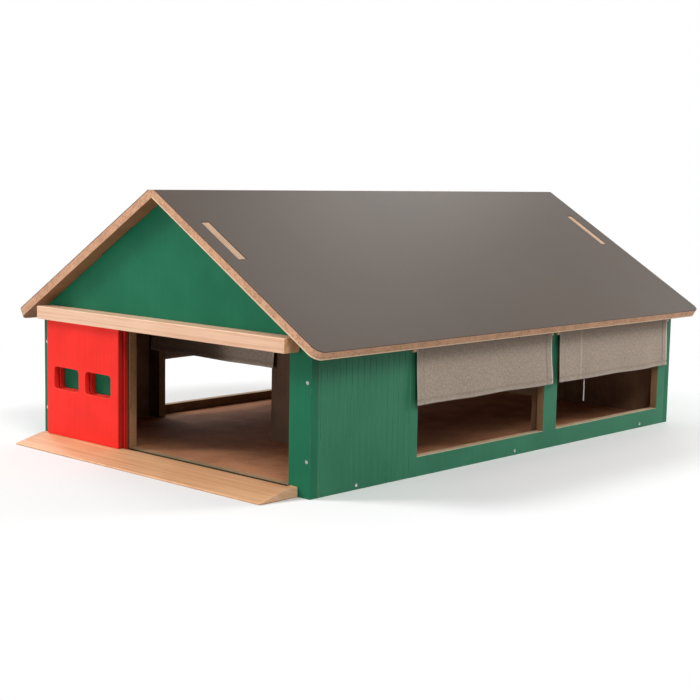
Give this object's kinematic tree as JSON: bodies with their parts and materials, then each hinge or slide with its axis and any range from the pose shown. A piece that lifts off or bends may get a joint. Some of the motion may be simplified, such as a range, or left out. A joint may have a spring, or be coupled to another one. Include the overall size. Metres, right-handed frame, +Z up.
{
  "type": "toy cow stable",
  "caption": "Wooden toy cow stable with a lift-off gable roof, sliding doors over an entrance ramp, an inner gateway and open side windows with hanging cloth curtains.",
  "frame": {"origin": "centre of the footprint on the ground, under the ridge in the width", "axes": "+X along the ridge from the door end to the back end, +Y to the far side, where the doors rest, +Z up"},
  "size_m": [0.6674, 0.4442, 0.2656],
  "materials": {
    "green_board": "green satin paint on board, raw cut edges",
    "raw_board": "bare brown board",
    "roof_board": "bare board, cut edges show",
    "roof_laminate": "matt grey-brown laminate",
    "red_board": "red satin paint",
    "pine": "planed light softwood, clear matt",
    "curtain_cloth": "plain grey woven cloth",
    "white_cord": "white twisted string",
    "bright_steel": "bright zinc-plated"
  },
  "bodies": {
    "stable_body": {"floor_panel": "raw_board", "front_gable_panel": "green_board", "back_gable_panel": "green_board", "inner_cross_wall": "raw_board", "near_side_wall": "green_board", "far_side_wall": "green_board", "near_pier_post": "raw_board", "far_pier_post": "raw_board", "entrance_ramp": "pine", "door_beam": "pine", "curtain_batten_near_front": "pine", "curtain_batten_near_rear": "pine", "curtain_batten_far_front": "pine", "curtain_batten_far_rear": "pine", "curtain_batten_gateway": "pine", "curtain_tacks_near": "bright_steel", "curtain_tacks_far": "bright_steel", "curtain_tacks_gateway": "bright_steel", "near_floor_screws": "bright_steel", "far_floor_screws": "bright_steel", "front_panel_screws": "bright_steel", "back_panel_screws": "bright_steel", "beam_screws": "bright_steel"},
    "outer_door": {"outer_sliding_door": "red_board"},
    "inner_door": {"inner_sliding_door": "red_board"},
    "near_roof_half": {"roof_panel_near": "roof_board", "roof_laminate_near": "roof_laminate"},
    "far_roof_half": {"roof_panel_far": "roof_board", "roof_laminate_far": "roof_laminate"},
    "near_front_curtain": {"curtain_near_front": "curtain_cloth"},
    "near_rear_curtain": {"curtain_near_rear": "curtain_cloth", "curtain_pull_cord": "white_cord"},
    "far_front_curtain": {"curtain_far_front": "curtain_cloth"},
    "far_rear_curtain": {"curtain_far_rear": "curtain_cloth"},
    "gateway_curtain": {"curtain_gateway": "curtain_cloth"}
  },
  "joints": [
    {"name": "outer_door_slide", "type": "slide", "parent": "stable_body", "child": "outer_door", "axis": [0, -1, 0], "range_m": [0, 0.2284]},
    {"name": "inner_door_slide", "type": "slide", "parent": "stable_body", "child": "inner_door", "axis": [0, -1, 0], "range_m": [0, 0.2284]},
    {"name": "near_roof_lift", "type": "slide", "parent": "stable_body", "child": "near_roof_half", "axis": [0, -0.5195, 0.8545], "range_m": [0, 0.06]},
    {"name": "far_roof_lift", "type": "slide", "parent": "stable_body", "child": "far_roof_half", "axis": [0, 0.5195, 0.8545], "range_m": [0, 0.06]},
    {"name": "near_front_curtain_swing", "type": "hinge", "parent": "stable_body", "child": "near_front_curtain", "pos_m": [0, -0.2016, 0.1197], "axis": [-1, 0, 0], "range_deg": [0, 75]},
    {"name": "near_rear_curtain_swing", "type": "hinge", "parent": "stable_body", "child": "near_rear_curtain", "pos_m": [0, -0.2016, 0.1197], "axis": [-1, 0, 0], "range_deg": [0, 75]},
    {"name": "far_front_curtain_swing", "type": "hinge", "parent": "stable_body", "child": "far_front_curtain", "pos_m": [0, 0.2016, 0.1197], "axis": [1, 0, 0], "range_deg": [0, 75]},
    {"name": "far_rear_curtain_swing", "type": "hinge", "parent": "stable_body", "child": "far_rear_curtain", "pos_m": [0, 0.2016, 0.1197], "axis": [1, 0, 0], "range_deg": [0, 75]},
    {"name": "gateway_curtain_swing", "type": "hinge", "parent": "stable_body", "child": "gateway_curtain", "pos_m": [-0.1584, 0, 0.1197], "axis": [0, 1, 0], "range_deg": [0, 70]}
  ]
}
